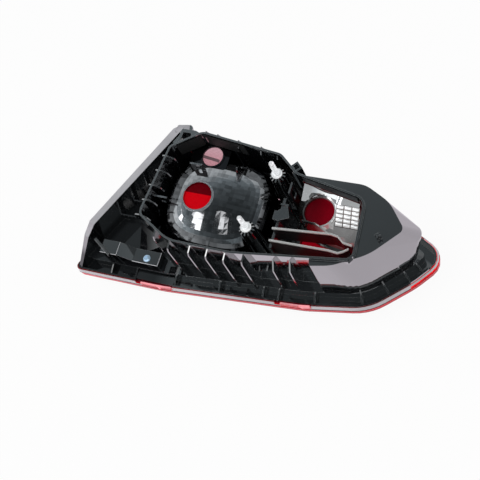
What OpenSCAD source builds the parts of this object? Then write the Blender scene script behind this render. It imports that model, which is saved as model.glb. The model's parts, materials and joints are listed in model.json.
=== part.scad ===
// Rear lamp cluster seen from its mounting side, without its bulb carrier.
// Origin: the seat of the middle mounting stud. +Z: the way the studs point, into the car body.
// +X: along the lamp, towards its pointed outer end. The lens closes the -Z side.

/* [Housing] */
// Wall thickness of the housing
wall = 2.2; // [1.8:0.1:2.8]
// Depth of the bay wall from the seat plane to the deck
bay_depth = 72; // [66:1:80]
// Depth of the flat shoulder below the seat plane
shoulder_drop = 5; // [3:0.5:8]
// Width of the open channel round the rim, outside face to inside face
channel_w = 15.2; // [14:0.2:17]
// Depth of the open channel below the deck
channel_depth = 14; // [10:1:18]
// Height of the rim wall above the channel floor
rim_wall_h = 8; // [6:0.5:11]
// Inset of the side wing from the rim
wing_inset = 5; // [4:0.5:7]

/* [Ribs] */
// Thickness of the stiffening ribs
rib_t = 1.6; // [1.2:0.1:2]
// Reach of the tall outside ribs from the bay wall
rib_reach = 11; // [8:0.5:12]
// Spacing of the tall outside ribs
rib_pitch = 20.5; // [18:0.5:23]
// Reach of the small ribs inside the bay
inner_rib_reach = 7; // [5:0.5:8]

/* [Studs] */
// Radius of the stud shank
stud_r = 3; // [2.5:0.25:4]
// Length of the stud shank above its flange
stud_len = 25; // [20:1:32]
// Radius of the stud flange
stud_flange_r = 6; // [5.5:0.25:7]
// Thickness of the stud flange
stud_flange_t = 2; // [1.5:0.25:3]
// Number of ribs round a stud boss
boss_ribs = 12; // [8:1:14]
// Second stud, along the lamp
stud_b_x = 15; // [12:0.5:18]
// Second stud, across the lamp
stud_b_y = 66; // [63:0.5:68]

/* [Lens] */
// Thickness of the lens
lens_t = 2.2; // [1.8:0.2:3]
// Height of the lens skirt round the rim wall
lens_skirt = 5; // [4:0.5:8]
// Depth of the lens crown below its skirt
lens_crown = 30; // [22:1:40]

/* [Reflectors] */
// Radius of the main bulb hole
main_hole_r = 16.5; // [13:0.5:17]
// Radius of the side bulb hole
side_hole_r = 16.5; // [12:0.5:17]
// Radius of the reversing bulb hole
reverse_hole_r = 12; // [9:0.5:12.5]
// Wall of the main reflector
bowl_t = 2.4; // [2:0.2:3]
// Height of the main reflector above its flange
bowl_h = 55; // [50:1:58]
// Height of the side reflector above its flange
side_h = 52; // [46:1:54]
// Fall of the main reflector's face from its middle to its sides
bowl_sag = 9; // [6:0.5:12]
// Facet columns on the main reflector
bowl_cols = 30; // [18:2:32]
// Facet rows on the main reflector
bowl_rows = 26; // [16:2:28]

/* [Clearance] */
// Gap left between two pieces that seat on each other
fit_gap = 0.2; // [0.1:0.05:0.3]

/* [Hidden] */
$fn = 48;

z_deck = -bay_depth;
deck_t = 2.4;
z_root = z_deck - 1;
z_floor = z_deck - channel_depth;
floor_t = 2;
z_under = z_floor - floor_t;
z_wall_top = z_floor + rim_wall_h;
z_shoulder = -shoulder_drop;
z_flange = z_deck - deck_t - fit_gap;
flange_t = 2;
z_bezel = z_flange - flange_t - fit_gap;
bezel_t = 2;
z_optic = z_bezel - bezel_t - fit_gap;
optic_t = 2;
z_skirt = z_floor + 0.5;
z_lens_edge = z_skirt - lens_skirt;

// Corners of the rim, anticlockwise: x, y, corner radius
rim = [[-222, -61, 4], [-110, -60.5, 300], [60, -48, 150], [130, -36, 60], [170, 1.5, 120],
       [197, 36.5, 18], [100, 88, 90], [-131, 121, 12]];
rim_last = len(rim) - 1;
// Corners of the bay wall's centre line
bay = [[-125, -7, 10], [-82, -30.5, 40], [-8, -31, 120], [121.5, -13.5, 9], [116.5, 54, 12],
       [36, 70, 8], [13, 88.5, 12], [-84, 100.3, 14], [-116.5, 77.5, 7]];
near_line = [for (k = [0:3]) [bay[k][0], bay[k][1]]];
far_line = [for (k = [8:-1:4]) [bay[k][0], bay[k][1]]];
// Corners of the flat top of the shoulder that closes the outer end
shoulder = [[78, -27, 1], [100, -22.5, 50], [135, -3, 60], [163.5, 30, 7],
            [141, 57, 45], [112, 71.5, 30], [42, 70.8, 1]];

// Studs, bulb holes and chambers
stud_a_at = [0, 0];
stud_b_at = [stud_b_x, stud_b_y];
stud_at = [stud_a_at, stud_b_at];
main_hole = [-73.5, 31.8];
main_c = [-53.5, 32.5];
main_a = [63.5, 56.5];
reverse_hole = [-74, 83.8];
side_hole = [66.5, 39.3];
side_c = [73, 40];
side_a = [37, 19];
side_skew = -0.18;

// Plane geometry
function unit(v) = v / norm(v);
function left_of(v) = [-v[1], v[0]];
function xy(p) = [p[0], p[1]];
function dir_of(c, i) = unit(xy(c[(i + 1) % len(c)]) - xy(c[i % len(c)]));

// Corner i of an outline whose edges are moved inwards, d before the corner and e after it
function inset_corner(c, i, d, e) =
    let (n = len(c), u = dir_of(c, i + n - 1), v = dir_of(c, i),
         a = left_of(u), b = left_of(v))
    xy(c[i]) + a * d + u * ((e - d * (a * b)) / (u * b));

// Points of one rounded corner
function arc_points(p, u, v, r, steps) =
    let (turn = u[0] * v[1] - u[1] * v[0], side = turn < 0 ? -1 : 1,
         angle = acos(max(-1, min(1, u * v))), t = r * tan(angle / 2),
         start = p - u * t, centre = start + left_of(u) * r * side,
         first = start - centre)
    [for (k = [0:steps]) let (w = side * angle * k / steps)
        centre + [first[0] * cos(w) - first[1] * sin(w), first[0] * sin(w) + first[1] * cos(w)]];

function corner_radius(c, i, d) =
    let (u = dir_of(c, i + len(c) - 1), v = dir_of(c, i),
         convex = u[0] * v[1] - u[1] * v[0] > 0)
    max(0.4, c[i][2] + (convex ? -d : d));

// A rounded outline moved inwards by d, its last edge by e
function outline(c, d = 0, e = undef, steps = 6) =
    let (n = len(c), last = is_undef(e) ? d : e)
    [for (i = [0:n - 1])
        let (before = i == 0 ? last : d, after = i == n - 1 ? last : d)
        each arc_points(inset_corner(c, i, before, after), dir_of(c, i + n - 1), dir_of(c, i),
                        corner_radius(c, i, d), steps)];

// Point and direction at a distance s along a path
function walk(path, s, i = 0) =
    let (a = path[i], b = path[(i + 1) % len(path)], l = norm(b - a))
    s <= l || i >= len(path) - 1 ? [a + unit(b - a) * s, unit(b - a)] : walk(path, s - l, i + 1);

// Position of the bay wall: y of its near and far sides at x, x of its left side at y
function near_y(x) = lookup(x, near_line);
function far_y(x) = lookup(x, far_line);
function left_x(y) = bay[8][0] + (bay[0][0] - bay[8][0]) * (y - bay[8][1]) / (bay[0][1] - bay[8][1]);

module slab(points, low, high) {
    translate([0, 0, low]) linear_extrude(high - low) polygon(points);
}

// A thin plate that stands on the line at p, facing along the angle, with a profile of [reach, height]
module fin(p, angle, profile, t = rib_t) {
    translate([p[0], p[1], 0]) rotate([0, 0, angle]) rotate([90, 0, 0])
        translate([0, 0, -t / 2]) linear_extrude(t) polygon(profile);
}

// A closed shell over a grid: every point of one face is paired with a point of the other
function strip_faces(rows, cols, base, flip) = [for (i = [0:rows - 2], j = [0:cols - 2])
    let (a = base + i * cols + j, q = [a, a + 1, a + cols + 1, a + cols])
    each flip ? [[q[0], q[2], q[1]], [q[0], q[3], q[2]]] : [[q[0], q[1], q[2]], [q[0], q[2], q[3]]]];
function edge_faces(ring, shift) = [for (k = [0:len(ring) - 1])
    let (a = ring[k], b = ring[(k + 1) % len(ring)])
    each [[a, a + shift, b + shift], [a, b + shift, b]]];
function border(rows, cols) = concat(
    [for (j = [0:cols - 2]) j], [for (i = [0:rows - 2]) i * cols + cols - 1],
    [for (j = [cols - 1:-1:1]) (rows - 1) * cols + j], [for (i = [rows - 1:-1:1]) i * cols]);

// Housing

module bay_hollow() slab(outline(bay, wall / 2), z_deck - 30, 1);
module bay_wall() {
    difference() {
        slab(outline(bay, -wall / 2), z_deck - deck_t, 0);
        bay_hollow();
    }
}

// Shoulder: a flat top whose walls run out to the channel, with a full nose at the pointed end
nose_at = [164.5, 38.5];
function shoulder_foot() = let (d = channel_w - wall)
    concat([[80, -31.8, 2]], [for (i = [3:5]) let (p = inset_corner(rim, i, d, d)) [p[0], p[1], rim[i][2]]],
           [[104, 72, 40], [60, 76, 2]]);
module shoulder_solid(d, drop) {
    hull() {
        slab(outline(shoulder, d), z_shoulder - drop - 1, z_shoulder - drop);
        slab(outline(shoulder_foot(), d), z_deck - deck_t - drop, z_deck);
        translate([nose_at[0], nose_at[1], -36 - drop]) cylinder(r = 10.5 - d, h = 1, $fn = 32);
    }
}
module shoulder_shell() {
    difference() {
        shoulder_solid(0, 0);
        shoulder_solid(wall, deck_t);
        bay_hollow();
    }
}

module deck() {
    difference() {
        slab(outline(rim, channel_w - wall / 2, wing_inset), z_deck - deck_t, z_deck);
        difference() {
            slab(rounded_plan(main_c, main_a, 1.2), z_deck - 3 * deck_t, z_deck + 1);
            for (p = stud_at) translate([p[0], p[1], z_deck - 4 * deck_t])
                cylinder(r = boss_foot_r + 0.6, h = 5 * deck_t);
        }
        slab(reverse_outline(-0.4), z_deck - 2 * deck_t, z_deck + 1);
        slab(side_window, z_deck - 2 * deck_t, z_deck + 1);
    }
}

boss_foot_r = 11;
boss_top_r = 8.6;
// A plan between an ellipse and a rectangle, grown by a distance
plan_power = 3;
function power_norm(u, v) = pow(pow(abs(u), plan_power) + pow(abs(v), plan_power), 1 / plan_power);
function rounded_plan(c, a, grow = 0, n = 48) = [for (k = [0:n - 1])
    let (u = cos(360 * k / n), v = sin(360 * k / n), r = 1 / power_norm(u, v))
        [c[0] + (a[0] + grow) * u * r, c[1] + (a[1] + grow) * v * r]];

// Chamber of the reversing lamp, behind the main reflector
reverse_box = [[-99, 69.7, 3], [-54, 69.7, 3], [-54, 95, 3], [-80, 97.9, 6], [-99, 87, 6]];
function reverse_outline(d) = outline(reverse_box, d, steps = 4);
side_window = outline([[38, -22, 8], [114, -11, 12], [111, 52, 14], [38, 64, 6]], 0, steps = 4);

// Open channel round the rim: floor, inner wall, outer wall
module channel() {
    difference() {
        slab(outline(rim), z_under, z_floor);
        slab(outline(rim, channel_w), z_under - 1, z_floor + 1);
    }
    difference() {
        slab(outline(rim, channel_w - wall), z_under, z_deck);
        slab(outline(rim, channel_w), z_under - 1, z_deck + 1);
    }
    difference() {
        slab(outline(rim), z_under, z_wall_top);
        slab(outline(rim, wall), z_under - 1, z_wall_top + 1);
        for (n = notches) translate([n[0], rim[0][1] - 6, z_wall_top - notch_depth])
            cube([n[1] - n[0], 24, notch_depth + 1]);
        tip_notch();
    }
    // raised stretch of the rim wall near the pointed end
    intersection() {
        difference() {
            slab(outline(rim), z_wall_top - 1, z_wall_top + 2.6);
            slab(outline(rim, wall), z_wall_top - 2, z_wall_top + 3);
        }
        translate([169, -1, z_wall_top - 2]) rotate([0, 0, 51]) translate([0, -8, 0]) cube([24, 16, 6]);
    }
    // raised floor beside the first notch
    intersection() {
        slab(outline(rim, wall / 2), z_floor, z_wall_top - 1);
        translate([notches[0][0], rim[0][1] + 3, z_floor]) cube([notches[0][1] - notches[0][0], 10, 20]);
    }
    dividers();
}

// Small notch beyond the raised stretch
module tip_notch() {
    translate([187, 20, z_wall_top - 2.5]) rotate([0, 0, 62]) translate([0, -8, 0]) cube([4, 16, 4]);
}

// Notches in the rim wall, from x to x, where the lens tabs stand
notches = [[-142, -95], [27, 69]];
notch_depth = 5;

// Distances along the rim at which the channel is divided
divider_at = [46, 78, 128, 182, 234, 252, 294, 346, 378, 404, 421, 480, 530, 585, 640, 690];
module divider(s) {
    w = walk(outline(rim, wall / 2), s);
    angle = atan2(w[1][1], w[1][0]) + 90;
    fin(w[0], angle, [[0, z_floor - 1], [channel_w - wall, z_floor - 1],
                      [channel_w - wall, z_wall_top + 1], [0, z_wall_top - 2]]);
}
module dividers() {
    for (s = divider_at) divider(s);
}

// Side wing: a tall wall along the last edge of the rim, with a lip along its top
wing_start = inset_corner(rim, 0, wing_inset, wall);
wing_end = inset_corner(rim, rim_last, wall, wing_inset);
wing_len = norm(wing_end - wing_start);
wing_angle = atan2(wing_end[1] - wing_start[1], wing_end[0] - wing_start[0]);
wing_top = [[0, z_wall_top], [30, z_deck + 27], [46, z_deck + 37], [wing_len, z_deck + 39]];
wing_lip_t = 2.4;
lip_slope = 0.2;
module wing() {
    translate([wing_start[0], wing_start[1], 0]) rotate([0, 0, wing_angle]) {
        rotate([90, 0, 0]) linear_extrude(wall)
            polygon(concat(wing_top, [[wing_len, z_under], [0, z_under]]));
        intersection() {
            multmatrix([[1, 0, 0, 0], [0, 1, 0, 0], [0, -lip_slope, 1, 0]])
                rotate([90, 0, 0]) translate([0, 0, -12]) linear_extrude(12 + wall)
                    polygon(concat(wing_top, [for (k = [3:-1:0]) wing_top[k] - [0, wing_lip_t]]));
            translate([0, 0, z_under]) linear_extrude(-z_under)
                polygon([[0, -wall], [wing_len, -wall], [wing_len, 4], [wing_len - 8, 9], [46, 7], [0, 3]]);
        }
    }
    // rounded return at the far end, with its lip
    slab(outline(wing_return), z_deck - 1, z_deck + 39 - wing_lip_t);
    slab(outline(wing_return, -0.8), z_deck + 39 - wing_lip_t - 0.1, z_deck + 39);
}
wing_return = [[-134, 111, 1], [-121, 112.4, 2], [-114.4, 114.8, 3.4], [-115.5, 121.5, 3.4], [-122, 120.6, 2], [-132.5, 119, 1]];

// Stepped box with a pocket between the far end of the wing and the bay wall
module corner_box() {
    difference() {
        union() {
            slab([[-114, 78], [-112, 103], [-95, 103], [-84, 99]], z_root, -5);
            slab([[-131, 96], [-122, 113], [-107, 107], [-112, 80]], z_root, -30);
        }
        slab([[-110, 87], [-109, 99], [-100, 99], [-98, 95]], -22, 0);
        bay_hollow();
    }
}

// Block on the outside of the bay wall where it steps in
module far_block() {
    translate([31, 80, 0]) rotate([0, 0, -42])
        difference() {
            translate([-5, -4, z_root]) cube([10, 9, -z_root - 8]);
            translate([-3, -2, -20]) cube([6, 5, 20]);
        }
}

// Tall outside ribs along the near side of the bay
tall_rib_x = [for (k = [0:5]) -100 + k * rib_pitch + (k > 1 ? 4 : 0)];
short_rib_x = [36, 54];
module tall_ribs() {
    for (x = tall_rib_x) fin([x, near_y(x)], -90, [[0, -2], [rib_reach - 2, -3.5], [rib_reach, -8],
                                                    [rib_reach + 3, z_root], [0, z_root]]);
    for (x = short_rib_x) fin([x, near_y(x)], -88, [[0, -10], [rib_reach - 1, -22], [rib_reach + 2, z_root], [0, z_root]]);
}

// Small ribs that cross the bay wall
module small_ribs() {
    for (x = tall_rib_x) if (x > -90)
        fin([x + 2, near_y(x) + 0.5], 90, [[0, -3], [3.5, -9], [4.5, -48], [0, -54]], 1.4);
    for (k = [0:4]) let (y = -8 + k * 18.5) {
        fin([left_x(y), y], -6, [[0, -2], [inner_rib_reach + 2, -5], [inner_rib_reach + 4, -12], [2, -44], [0, -44]], 1.4);
        fin([left_x(y), y], 176, [[0, -2], [6, -4], [8, -9], [6, -40], [0, -60]], 1.4);
    }
    for (x = [-81, -66, -40, -12, 8])
        fin([x, far_y(x)], -98, [[0, -2], [inner_rib_reach / 2, -9], [4, -48], [0, -54]], 1.4);
    for (x = [-81, -66, -40, -12]) fin([x, far_y(x)], 84, [[0, -5], [2.5, -0.5], [6, -14], [6, -40], [0, -60]], 1.4);
}

// Low webs between the wing and the bay wall, and the sloping face at the corner of the bay
module floor_webs() {
    for (k = [0:2]) let (y = 8 + k * 20, w = wing_x(y) + 1)
        translate([w, y, z_root]) cube([left_x(y) - w, 1.4, 13]);
    fin([-121, -4], 197, [[0, z_root], [0, z_deck + 17], [30, z_deck + 1], [30, z_root]], 40);
}
function wing_x(y) = wing_start[0] + (wing_end[0] - wing_start[0]) * (y - wing_start[1]) / (wing_end[1] - wing_start[1]);

// Ribbed boss under a stud
module stud_boss(p) {
    translate([p[0], p[1], 0]) {
        translate([0, 0, z_root]) cylinder(r = 5.6, h = -z_root - stud_flange_t);
        for (k = [0:boss_ribs - 1]) fin([0, 0], k * 360 / boss_ribs,
            [[4, -stud_flange_t - 1], [boss_top_r, -stud_flange_t - 3], [boss_foot_r, z_root], [4, z_root]], 1.4);
    }
}
module stud_socket(p) {
    translate([p[0], p[1], -stud_flange_t - 16]) cylinder(r = stud_r + fit_gap, h = 20);
}

// Fixing bracket: a stepped plate with a ridged hook, screwed to a boss on the deck at the near end
bracket_y = [-44, -28];
bracket_t = 2.2;
bracket_high = z_deck + 21;
bracket_low = z_deck + 11;
screw_at = [-128, -38];
screw_r = 2;
module fixing_bracket() color([0.05, 0.052, 0.056]) {
    t = bracket_t;
    foot = z_deck + fit_gap;
    difference() {
        translate([0, bracket_y[1], 0]) rotate([90, 0, 0]) linear_extrude(bracket_y[1] - bracket_y[0]) polygon([
            [-183, foot], [-183, bracket_high], [-162, bracket_high], [-145, bracket_low], [-113, bracket_low],
            [-113, foot], [-113 - t, foot], [-113 - t, bracket_low - t], [-146, bracket_low - t],
            [-163, bracket_high - t], [-183 + t, bracket_high - t], [-183 + t, foot]]);
        translate([screw_at[0], screw_at[1], z_deck]) cylinder(r = screw_r + fit_gap, h = 30);
    }
    translate([-164, bracket_y[0], foot]) cube([t, bracket_y[1] - bracket_y[0], bracket_high - foot - 0.5]);
    translate([-194, -32, foot]) rotate([0, 0, -33]) {
        cube([28, 3.4, bracket_high - foot + 3]);
        for (k = [0:2]) translate([0, 0.4 + k * 1.1, 0]) cube([27, 0.5, bracket_high - foot + 3.8]);
    }
}
module screw_boss() {
    translate([screw_at[0], screw_at[1], z_root]) cylinder(r = 5, h = bracket_low - bracket_t - fit_gap - z_root);
}

// Sloping tab on the deck beside the bracket
module deck_tab() {
    translate([0, -38, 0]) rotate([90, 0, 0]) linear_extrude(9)
        polygon([[-104, z_root], [-84, z_root], [-84, z_deck + 7], [-87, z_deck + 7]]);
}

// Crossed locating post on the shoulder
module post() {
    translate([140.5, 16.5, z_shoulder - 1]) {
        translate([-3, -0.8, 0]) cube([6, 1.6, 9]);
        translate([-0.8, -3, 0]) cube([1.6, 6, 9]);
    }
}

module housing() color([0.035, 0.037, 0.042]) {
    difference() {
        union() {
            bay_wall();
            shoulder_shell();
            deck();
            corner_box();
            far_block();
            channel();
            wing();
            tall_ribs();
            floor_webs();
            difference() {
                small_ribs();
                slab(reverse_outline(-0.4), z_deck - 30, 0);
            }
            for (p = stud_at) stud_boss(p);
            screw_boss();
            deck_tab();
            post();
        }
        for (p = stud_at) stud_socket(p);
        translate([screw_at[0], screw_at[1], z_deck - 1]) cylinder(r = screw_r + fit_gap, h = 20);
    }
}

// Lens: rings that shrink towards the crown
lens_c = [-46, 28];
lens_ring = [1, 0.99, 0.965, 0.9, 0.78, 0.6, 0.42, 0.22];
function shrunk(points, s) = [for (p = points) lens_c + (p - lens_c) * s];
function crown_z(s) = -lens_crown * pow(1 - pow(s, 2.6), 0.62);
function flat_ring(points, z) = [for (p = points) [p[0], p[1], z]];
lens_steps = 5;
function lens_rings(d, drop) = concat(
    [flat_ring(outline(rim, d, steps = lens_steps), z_skirt)],
    [for (s = lens_ring) flat_ring(shrunk(outline(rim, d, steps = lens_steps), s), z_lens_edge - drop + crown_z(s))]);
module ring_shell(outer, inner, outer_tip, inner_tip) {
    n = len(outer[0]);
    m = len(outer);
    count = n * m;
    points = concat([for (r = outer) each r], [outer_tip], [for (r = inner) each r], [inner_tip]);
    shift = count + 1;
    faces = concat(
        [for (i = [0:m - 2], j = [0:n - 1]) let (a = i * n + j, b = i * n + (j + 1) % n)
            each [[a, b, b + n], [a, b + n, a + n]]],
        [for (j = [0:n - 1]) [(m - 1) * n + j, (m - 1) * n + (j + 1) % n, count]],
        [for (i = [0:m - 2], j = [0:n - 1]) let (a = shift + i * n + j, b = shift + i * n + (j + 1) % n)
            each [[a, b + n, b], [a, a + n, b + n]]],
        [for (j = [0:n - 1]) [shift + (m - 1) * n + (j + 1) % n, shift + (m - 1) * n + j, shift + count]],
        [for (j = [0:n - 1]) let (k = (j + 1) % n) each [[j, shift + j, shift + k], [j, shift + k, k]]]);
    polyhedron(points, faces, convexity = 6);
}
module lens_shell() {
    outside = lens_rings(-lens_t - fit_gap, lens_t);
    inside = lens_rings(-fit_gap, 0);
    ring_shell(outside, inside,
               [lens_c[0], lens_c[1], z_lens_edge - lens_t + crown_z(0)],
               [lens_c[0], lens_c[1], z_lens_edge + crown_z(0)]);
}
// Clear strip along the far edge of the lens
clear_low = [-118, 70];
clear_high = [8, 98];
module clear_zone() {
    translate([clear_low[0], clear_low[1], z_lens_edge - lens_crown - 9])
        cube([clear_high[0] - clear_low[0], clear_high[1] - clear_low[1], lens_crown + 6]);
}
module lens_red() color([0.75, 0.02, 0.03, 0.75]) {
    difference() {
        lens_shell();
        clear_zone();
    }
    // tabs that stand in the notches of the rim wall
    for (n = notches) intersection() {
        difference() {
            slab(outline(rim, -lens_t - fit_gap), z_skirt - 1, z_wall_top - 1);
            slab(outline(rim, -fit_gap), z_skirt - 2, z_wall_top);
        }
        translate([n[0] + 7, rim[0][1] - 9, z_skirt - 2]) cube([n[1] - n[0] - 9, 30, 20]);
    }
}
module lens_clear() color([0.95, 0.8, 0.82, 0.5]) {
    intersection() {
        lens_shell();
        clear_zone();
    }
}

// Sealing bead between the channel floor and the lens
module lens_seal() color([0.06, 0.06, 0.06]) {
    difference() {
        slab(outline(rim, 1), z_under - 1.6, z_under - fit_gap);
        slab(outline(rim, 5), z_under - 3, z_under + 1);
    }
}

// Bezel: a dark frame behind the lens with a window for each chamber
module bezel() color([0.08, 0.08, 0.09]) {
    difference() {
        slab(outline(rim, channel_w + fit_gap, channel_w + fit_gap), z_bezel - bezel_t, z_bezel);
        slab(rounded_plan(main_c, main_a, -5), z_bezel - 5, z_bezel + 1);
        slab(reverse_outline(5), z_bezel - 5, z_bezel + 1);
        slab(side_window, z_bezel - 5, z_bezel + 1);
    }
}

// Faceted bowl: a grid of flat facets whose plan lies between an ellipse and a rectangle
function plan_point(u, v) = let (m = max(abs(u), abs(v))) m == 0 ? [0, 0] : [u, v] * m / power_norm(u, v);
function dome_grid(c, a, h, lean, z, rows, cols, steep, skew, fall, sag) = [for (i = [0:rows], j = [0:cols])
    let (u = -cos(180 * j / cols), v = -cos(180 * i / rows), d = plan_point(u, v), m = max(abs(u), abs(v)))
    [c[0] + a[0] * d[0], c[1] + a[1] * d[1] + skew * a[0] * d[0],
     z + (h - sag * (d * d) + lean * d) * pow(max(0, 1 - pow(m, fall)), steep)]];
module faceted_dome(c, a, h, lean, z, rows, cols, t, steep, fall, sag = 0, skew = 0) {
    outer = dome_grid(c, a, h, lean, z, rows, cols, steep, skew, fall, sag);
    inner = dome_grid(c, a - [t, t], h - t, lean, z, rows, cols, steep, skew, fall, sag);
    n = (rows + 1) * (cols + 1);
    polyhedron(concat(outer, inner), concat(
        strip_faces(rows + 1, cols + 1, 0, true), strip_faces(rows + 1, cols + 1, n, false),
        edge_faces(border(rows + 1, cols + 1), n)), convexity = 6);
}
module tab(x, y, w, low, high, window) {
    difference() {
        translate([x, y, low]) cube([w, 2, high - low]);
        translate([x + w / 2 - 3, y - 1, high - 5 - window]) cube([6, 4, window]);
    }
}
main_lean = [-5, 2];
main_crown = z_flange + bowl_h;
main_collar_z = main_crown + 1.6;
module boss_clearance() {
    for (p = stud_at) translate([p[0], p[1], z_flange - 10]) cylinder(r = boss_foot_r + 2, h = 80);
}
module main_reflector() color([0.25, 0.26, 0.28]) {
    difference() {
        union() {
            faceted_dome(main_c, main_a, bowl_h, main_lean, z_flange - flange_t / 2, bowl_rows, bowl_cols, bowl_t, 0.35, 12, bowl_sag);
            difference() {
                slab(rounded_plan(main_c, main_a, 6), z_flange - flange_t, z_flange);
                slab(rounded_plan(main_c, main_a, -bowl_t - 1), z_flange - 5, z_flange + 1);
            }
            translate([main_hole[0], main_hole[1], main_collar_z - 13]) cylinder(r = main_hole_r + 1.4, h = 13);
            tab(-91, 64.5, 15, main_crown - 24, main_crown + 10, 8);
            tab(-119, 19, 15, main_crown - 30, main_crown + 10, 8);
            translate([0, 0, main_crown]) fin([-37, 57], 80, [[0, -8], [5, 0], [12, 11], [19, -6], [13, -22], [4, -18]], 2);
        }
        translate([main_hole[0], main_hole[1], main_collar_z - 20]) cylinder(r = main_hole_r, h = 40);
        slab(reverse_outline(-0.6), z_flange - 10, 0);
        boss_clearance();
    }
}

reverse_top = -25;
module reverse_reflector() color([0.3, 0.31, 0.33]) {
    difference() {
        union() {
            difference() {
                slab(reverse_outline(0.2), z_flange - flange_t, reverse_top);
                slab(reverse_outline(2), z_flange - 10, reverse_top - 1.8);
            }
            difference() {
                slab(reverse_outline(-2.2), z_flange - flange_t, z_flange);
                slab(rounded_plan(main_c, main_a, 6.4), z_flange - 5, z_flange + 1);
                slab(reverse_outline(2), z_flange - 5, z_flange + 1);
            }
            intersection() {
                translate([reverse_hole[0], reverse_hole[1], reverse_top - 6]) cylinder(r = reverse_hole_r + 2, h = 7);
                slab(reverse_outline(0.2), reverse_top - 7, reverse_top + 2);
            }
        }
        translate([reverse_hole[0], reverse_hole[1], reverse_top - 6]) cylinder(r = reverse_hole_r, h = 20);
    }
}

side_lean = [0, 18];
function side_plan(grow) = [for (p = rounded_plan(side_c, side_a, grow)) [p[0], p[1] + side_skew * (p[0] - side_c[0])]];
side_crown = z_flange + side_h;
side_collar_z = side_crown + 2.6;
module side_reflector() color([0.85, 0.85, 0.86]) {
    difference() {
        union() {
            faceted_dome(side_c, side_a, side_h, side_lean, z_flange - flange_t / 2, 10, 12, 2, 0.12, 3, 0, side_skew);
            difference() {
                union() {
                    slab(side_plan(2), z_flange - flange_t, z_flange);
                    for (x = [27, 108]) translate([x, side_c[1] - 8, z_flange - flange_t]) cube([15, 16, flange_t]);
                }
                slab(side_plan(-3), z_flange - 5, z_flange + 1);
            }
            translate([side_hole[0], side_hole[1], side_collar_z - 10]) cylinder(r = side_hole_r + 1.4, h = 10);
            translate([0, 22.4, 0]) rotate([90, 0, 0]) linear_extrude(1.8)
                polygon([[55, side_crown + 15], [69, side_crown + 15], [79, side_crown - 11], [57, side_crown - 11]]);
        }
        translate([side_hole[0], side_hole[1], side_collar_z - 10]) cylinder(r = side_hole_r, h = 40);
        translate([side_hole[0], side_hole[1], side_collar_z]) cylinder(r = side_hole_r + 1.4, h = 30);
    }
}

// Carrier between the two chambers: a wall with a shelf, a framed catch and a slot
carrier_x = 22;
module reflector_carrier() color([0.16, 0.18, 0.2]) {
    z0 = z_deck + fit_gap;
    translate([carrier_x, -9, z0]) cube([3, 59, 46]);
    translate([carrier_x, -9, z0]) cube([11, 59, 3]);
    slab([[carrier_x, 18], [29, 17], [40, 22.5], [34, 37], [25, 28], [carrier_x, 28]], -12, -10);
    translate([carrier_x, 26, z0]) cube([3, 2, -11 - z0]);
    translate([carrier_x, 18.5, z0]) cube([7, 2, -11 - z0]);
    translate([carrier_x, 40, z0]) cube([9, 2, 50]);
    difference() {
        translate([31, 49, z0]) cube([2, 13, -8 - z0]);
        translate([30, 52, -30]) cube([4, 7, 16]);
    }
    translate([carrier_x, 49, z0]) cube([11, 3, 20]);
}

// Baffles: thin metallised plates that divide the side chamber
module plate_along(path, t, low, high) {
    n = len(path);
    slab(concat(path, [for (k = [n - 1:-1:0]) path[k] - [0, t]]), low, high);
}
module upper_baffle() color([0.7, 0.7, 0.7])
    plate_along([[carrier_x + 3 + fit_gap, 8.5], [89, 13.9], [97, 12.5], [104, 7], [114, 5.5]], 1.8, -38, -9);
module lower_baffle() color([0.7, 0.7, 0.7])
    plate_along([[carrier_x + 3 + fit_gap, -4.5], [90, -3.5], [101, -4.5], [106, -2], [111, 2]], 1.8, -46, -11);

// Red strip that stands between the side reflector and the far wall of the bay
module side_filter() color([0.8, 0.03, 0.04, 0.7]) {
    gap = wall / 2 + fit_gap + 0.1;
    x0 = 42;
    x1 = 106;
    slope = (far_y(x0) - far_y(x1)) / (x1 - x0);
    side = gap * sqrt(1 + slope * slope);
    slab([[x0, far_y(x0) - side], [x0, far_y(x0) - side - 1.2], [x1, far_y(x1) - side - 1.2], [x1, far_y(x1) - side]],
         z_deck + fit_gap, -12);
}

// Optics that lie under the bezel
module inner_filter() color([0.8, 0.03, 0.04, 0.7])
    slab(outline([[-118, -24, 10], [10, -24, 10], [10, 68, 10], [-118, 68, 10]], 0, steps = 4), z_optic - optic_t, z_optic);
module inner_diffuser() color([0.95, 0.75, 0.78, 0.6])
    slab(outline([[-94, 70, 4], [-54, 70, 4], [-54, 92.4, 4], [-94, 96, 4]], 0, steps = 4), z_optic - optic_t, z_optic);
module reflex_reflector() color([0.7, 0.02, 0.03])
    slab(outline([[112, -12, 6], [150, 16, 6], [140, 34, 6], [108, 22, 6]], 0, steps = 4), z_optic - optic_t, z_optic);

// Press-in stud: flange, shank, neck and pilot tip
module stud(p) {
    pilot = 4;
    neck = 2;
    translate([p[0], p[1], 0]) {
        translate([0, 0, -stud_flange_t]) cylinder(r = stud_flange_r, h = stud_flange_t);
        translate([0, 0, -stud_flange_t - 14]) cylinder(r = stud_r, h = 14 + stud_flange_t + stud_len - pilot - neck);
        translate([0, 0, stud_len - pilot - neck - 1]) cylinder(r = stud_r - 0.8, h = neck + 2);
        translate([0, 0, stud_len - pilot]) cylinder(r1 = stud_r - 0.4, r2 = stud_r - 0.1, h = pilot * 0.4);
        translate([0, 0, stud_len - pilot * 0.6]) cylinder(r1 = stud_r - 0.1, r2 = stud_r - 1.2, h = pilot * 0.6);
    }
}
module stud_a() color([0.85, 0.86, 0.88]) stud(stud_a_at);
module stud_b() color([0.85, 0.86, 0.88]) stud(stud_b_at);

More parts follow.
